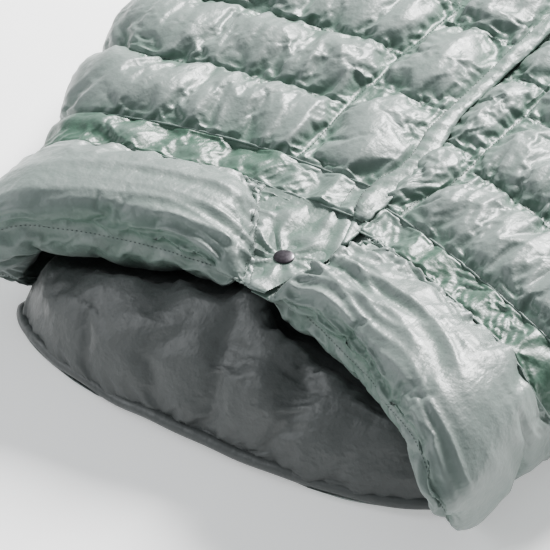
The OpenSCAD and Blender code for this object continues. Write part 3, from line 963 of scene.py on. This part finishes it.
def lapel_liner(side):
    """Liner under the top layer, round the side fold and down to the under layer."""
    rows = []
    for d0 in np.arange(LINER_FIRST, D_FOOT - 6, LINER_ROW):
        c = half_width(np.array(d0)) - FOLD_OUT
        a = edge_h(side, np.array(d0))
        h = np.concatenate([np.linspace(a, c, 34), c + np.pi * FOLD_R * np.linspace(0.06, 1, 15),
                            c + np.pi * FOLD_R + np.linspace(8, LINER_FLOOR_W, 5)])
        low = curve(LOW, side, h)
        d = d0 + (low - LINER_FIRST) * math.exp(-(d0 - LINER_FIRST) / SEAM_BLEND)
        edge = smooth((h - a) / 24) * smooth((d0 - 88) / 26)
        past = np.clip((h - c - np.pi * FOLD_R) / LINER_FLOOR_W, 0, 1)
        n = -edge * (LINER_LOW + puffs(d, 4.0) * (1 - past)) + past * 9
        n = n - 2.2 * edge * mid_noise(h + 400, d + 200 * side) - (1 - edge) * 1.0
        rows.append(place(side, h, d, n))
    rows = np.array(rows)
    liner = closed_cloth(f"{NAME[side]}_liner_cloth", rows, normals_of(rows, side), side)
    nodes = {LEFT: ("left_liner", "top_liner"), RIGHT: ("right_liner", "top_baffle_walls")}[side]
    part(liner, side, GREY, nodes)


HEAD_W, HEAD_POWER = 196.0, 2.3


def hem_reach(x):
    """How far in front of the neck edge the under layer's rounded head end is."""
    return HEM_REACH * np.clip(1 - np.abs(x / HEAD_W) ** HEAD_POWER, 0, 1) ** (1 / HEAD_POWER)


def under_half(d):
    """Half width of the under layer, with its rounded head end."""
    ahead = np.abs(np.minimum(d, 0) / HEM_REACH) ** HEAD_POWER
    head = HEAD_W * np.clip(1 - ahead, 0, 1) ** (1 / HEAD_POWER)
    inside = half_width(d) - FOLD_OUT + 6
    t = smooth((d - 6) / 60)
    return np.where(d < 0, head, HEAD_W * (1 - t) + inside * t)


HEM_IN = 5.0


def under_rows():
    """Distances from the neck edge of the under layer's rows, close together at the head."""
    turn = np.linspace(0.09, 1, 34) * np.pi / 2
    near = -HEM_REACH + HEM_IN + (HEM_REACH - HEM_IN) * (1 - np.cos(turn))
    return np.concatenate([near, np.arange(4.5, 180, 4.5), np.arange(186, D_FOOT - 4, LINER_ROW)])


CELL = 7.0
CELL_COUNT = (90, 60)
CELL_CORNER = (-315.0, Y_NECK - 160)


def cell_of(points):
    """Which cell of a level grid round the collars each point is in."""
    return [np.clip((points[..., k] / MM - CELL_CORNER[k]) / CELL, 0, CELL_COUNT[k] - 1).astype(int)
            for k in range(2)]


def press_down(points):
    """Keeps the under layer below the collars that rest on it."""
    ceiling = np.full(CELL_COUNT, np.inf)
    for grid in (LEFT_POINTS, RIGHT_POINTS):
        over = grid[:TUBE_ROWS, EDGE_COLS:-FLOOR_COLS - 4].reshape(-1, 3)
        i, j = cell_of(over)
        for di in (-1, 0, 1):
            for dj in (-1, 0, 1):
                np.minimum.at(ceiling, (i + di, j + dj), over[:, 2] / MM)
    i, j = cell_of(points)
    limit = np.maximum(ceiling[i, j] - 3.5, 8) * MM
    points[..., 2] = np.minimum(points[..., 2], limit)
    return points


UNDER_COLS = 93
UNDER_FRONT = 176.0
RIM_Z = 9.0


def under_start(rows, half_w, share):
    """The under layer's lining before it swells: chambers, and a mound between the collars."""
    x = half_w[:, None] * share
    d = np.repeat(rows[:, None], share.size, axis=1)
    rim = 1 - np.abs(share)[None] ** 10
    side_gap = half_w[:, None] * (1 - np.abs(share))
    inside = np.minimum(np.maximum(d + hem_reach(x), 0) + 60 * (d > 0), 3 * side_gap)
    ahead = smooth(inside / 30)
    reach = 158 - 28 * smooth((d - 30) / 50)
    between = 1 - smooth((np.abs(x) - reach) / 40)
    mound = (1 - np.exp(-inside / 30)) * (1 - smooth((d - 70) / 110)) * between
    below_tab = np.exp(-((x + 12) / 58) ** 2) * smooth((d + 30) / 34) * (1 - smooth((d - 36) / 50))
    swell = UNDER_Z + puffs(d, 8.0) * rim + 40 * mound + 13 * below_tab
    z = RIM_Z + (swell - RIM_Z) * ahead
    z = z + ahead * rim * (1.9 * mid_noise(x, d + 500) + 2.6 * wide_noise(x, d))
    return np.stack([x, Y_NECK + d, z], axis=-1) * MM


def under_liner(rows, half_w, share):
    """Grey lining that shows below the collars. Its front is swollen by simulation."""
    points = under_start(rows, half_w, share)
    count = int(np.searchsorted(rows, UNDER_FRONT)) + 1
    pin = np.zeros((count, share.size))
    pin[0] = pin[-1] = 1
    pin[:, 0] = pin[:, -1] = 1
    pin[int(np.argmin(np.abs(rows - (FIRST_SEAM - CHAMBER))))] = 1
    even = np.ones_like(pin)
    points[:count] = simulate(points[:count], even, pin, even, False, cap=14, bend=0.04)
    points = press_down(points)
    top = closed_cloth("under_liner_cloth", points, normals_of(points, RIGHT), RIGHT)
    part(top, RIGHT, GREY, ("under_liner", "under_down", "under_baffle_walls"), "root")


def under_shell(rows, half_w, share):
    """Outer cloth of the under layer, which lies on the floor and turns up at the head."""
    d = np.repeat(rows[:, None], share.size, axis=1)
    x = (half_w + 3)[:, None] * share
    low = np.stack([x, Y_NECK + d - 1, np.maximum(1.0, 3.2 - puffs(d, 2.4))], axis=-1)
    raised = smooth((np.abs(share)[None] - 0.9) / 0.1) * 4 * (d < -2)
    front_lift = 4 * (1 - smooth((d + HEM_REACH - 4) / 12))
    low[..., 2] += np.maximum(raised, front_lift)
    shell = closed_cloth("under_shell_cloth", low * MM, normals_of(low, RIGHT), RIGHT)
    part(shell, RIGHT, MINT, ("under_shell",), "root")


def upwards(line, lean=0.0):
    """An upward direction for every point of a line, leaning towards the foot."""
    return np.tile([0, lean, 1.0], (len(line), 1))


def head_hem():
    """Bound hem round the under layer's head end, and its stitching."""
    turn = np.linspace(0.02, 0.98, 120) * np.pi
    side_x = (HEAD_W - 4) * np.sign(np.cos(turn)) * np.abs(np.cos(turn)) ** (2 / HEAD_POWER)
    front = Y_NECK - (HEM_REACH - 4) * np.sin(turn) ** (2 / HEAD_POWER)
    line = np.stack([-side_x, front, 7.5 + 1.2 * mid_noise(side_x, front)], axis=1)
    hem = band("head_hem_cloth", line * MM, upwards(line), 5.0, 4.6, sides=16, pitch=3)
    part(hem, RIGHT, GREY, ("head_hem",), "root")
    sewn = line + np.array([0, 3.6, 4.0])
    thread = stitches("head_hem_stitches", [(sewn * MM, upwards(line, 0.3))])
    part(thread, RIGHT, THREAD, (), "root")


def under_layer():
    """The lower layer of the quilt, from its rounded head end to the foot."""
    rows = under_rows()
    share = np.sin(np.linspace(-1, 1, UNDER_COLS) * np.pi / 2)
    half_w = under_half(rows) - HEM_IN * (rows < 6)
    under_liner(rows, half_w, share)
    under_shell(rows, half_w, share)
    head_hem()


FOOT_RINGS = 15
FOOT_DEEP = 36.0
FOOT_PUCKERS = 26


def foot():
    """Foot panel: a puffed end that closes the two layers and the side folds."""
    w = float(half_width(np.array(D_FOOT))) - FOLD_OUT
    path = np.linspace(0, 2 * w + np.pi * FOLD_R, 49)
    end = np.full(path.size, D_FOOT)
    right = place(RIGHT, path, end, 0)
    left = place(LEFT, path[-2:0:-1], end[2:], 0)
    outline = np.concatenate([right, left])[:, [0, 2]] / MM
    around = len(outline)
    t = np.arange(around) / around * 2 * np.pi
    points = []
    for k in range(FOOT_RINGS):
        s = k / (FOOT_RINGS - 1)
        shrink = math.cos(s * math.pi / 2) * 0.96 + 0.04
        deep = FOOT_DEEP * math.sin(s * math.pi / 2) ** 0.8
        for (x, z), a in zip(outline, t):
            pucker = 1.6 * math.sin(a * FOOT_PUCKERS + 2 * math.sin(3 * a)) * (1 - s) ** 2
            points.append((x * shrink, Y_NECK + D_FOOT - 1 + deep + pucker,
                           Z_MID + (z - Z_MID) * (shrink + (1 - shrink) * 0.25) + pucker * 0.4))
    rings = np.array(points).reshape(FOOT_RINGS, around, 3) * MM
    panel = tube("foot_cloth", rings, start_cap=False)
    settle(panel, 0.8)
    part(panel, RIGHT, MINT, ("foot_shell", "foot_down"), "root")
    seam = np.stack([outline[:, 0], np.full(around, Y_NECK + D_FOOT), outline[:, 1]], axis=1)
    seam = np.concatenate([seam, seam[:2]])
    out = unit(seam - np.array([0, Y_NECK + D_FOOT, Z_MID]))
    tape = band("foot_seam_cloth", (seam + out * 1.5) * MM, out, 4.0, 1.6, sides=8, pitch=5)
    part(tape, RIGHT, GREEN, ("foot_seam_tape",), "root")


def closing_seam():
    """Tape over the seam that closes the two halves from the slit to the foot."""
    first = LEFT_GRID["first_body"]
    d = LEFT_GRID["D"][first:, 0]
    middle = (LEFT_POINTS[first:, 0] + RIGHT_POINTS[first:, 0]) / 2
    keep = (d > D_SLIT - 12) & (d < D_FOOT - 4)
    line = middle[keep] + np.array([0, 0, 1.4]) * MM
    tape = band("closing_seam_cloth", line, upwards(line), 5.0, 1.4, sides=8, pitch=5)
    part(tape, RIGHT, GREEN, ("closing_seam_tape",), "root")


lapel_liner(LEFT)
lapel_liner(RIGHT)
under_layer()
foot()
closing_seam()


# ---- the snap ----
for node in ("snap_cap", "snap_socket", "snap_stud", "snap_post"):
    paint(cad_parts[node], GUNMETAL)


# ---- floor, light and camera ----
def studio():
    """Pale floor and even, soft light from all round."""
    n = Nodes("floor_paper")
    grain = n.noise(30.0, 3.0)
    n.link(n.mix(grain, (0.92, 0.92, 0.92), (0.95, 0.95, 0.95)), n.shader.inputs["Base Color"])
    n.shader.inputs["Roughness"].default_value = 0.9
    n.shader.inputs["Emission Color"].default_value = (1, 1, 1, 1)
    n.shader.inputs["Emission Strength"].default_value = 0.42
    bpy.ops.mesh.primitive_plane_add(size=14, location=(0, 0, -0.001))
    floor = bpy.context.object
    floor.name = "floor"
    paint(floor, n.material)
    world = bpy.data.worlds.new("studio")
    bpy.context.scene.world = world
    world.use_nodes = True
    background = world.node_tree.nodes["Background"]
    background.inputs["Color"].default_value = (0.90, 0.95, 0.97, 1)
    background.inputs["Strength"].default_value = 0.48


def lamp(name, place_at, aim, power, size, colour):
    """A square soft light, turned towards aim."""
    data = bpy.data.lights.new(name, "AREA")
    data.energy = power
    data.size = size
    data.color = colour
    obj = bpy.data.objects.new(name, data)
    bpy.context.scene.collection.objects.link(obj)
    obj.location = place_at
    direction = np.array(aim) - np.array(place_at)
    obj.rotation_euler = Vector(direction).to_track_quat("-Z", "Y").to_euler()


VIEW_AZIMUTH, VIEW_ELEVATION = 34.0, 39.0
VIEW_DISTANCE = 5.0
VIEW_WIDTH = 390.5
SNAP = np.array([0.0, Y_NECK + SNAP_D, SNAP_HIGH[2]]) * MM
SNAP_RIGHT, SNAP_UP = 6.4, 14.2


def photo_camera():
    """Camera above the neck end, looking at a point beside the snap."""
    a, e = math.radians(VIEW_AZIMUTH), math.radians(VIEW_ELEVATION)
    back = np.array([math.sin(a) * math.cos(e), -math.cos(a) * math.cos(e), math.sin(e)])
    right = np.array([math.cos(a), math.sin(a), 0])
    up = np.cross(back, right)
    aim = SNAP - (right * SNAP_RIGHT + up * SNAP_UP) * MM
    data = bpy.data.cameras.new("camera")
    data.sensor_width = 36
    data.lens = 36 * VIEW_DISTANCE / (VIEW_WIDTH * MM)
    data.clip_start, data.clip_end = 0.05, 50
    obj = bpy.data.objects.new("camera", data)
    bpy.context.scene.collection.objects.link(obj)
    spin = np.eye(4)
    spin[:3, 0], spin[:3, 1], spin[:3, 2] = right, up, back
    spin[:3, 3] = aim + back * VIEW_DISTANCE
    obj.matrix_world = Matrix(spin.tolist())
    bpy.context.scene.camera = obj


studio()
LIT_PLACE = (0, -0.7, 0.1)
lamp("key", (-0.1, 1.1, 1.35), LIT_PLACE, 240, 0.6, (1.0, 0.99, 0.98))
lamp("fill", (-1.4, -1.6, 1.2), LIT_PLACE, 15, 1.2, (0.95, 0.97, 1.0))
photo_camera()
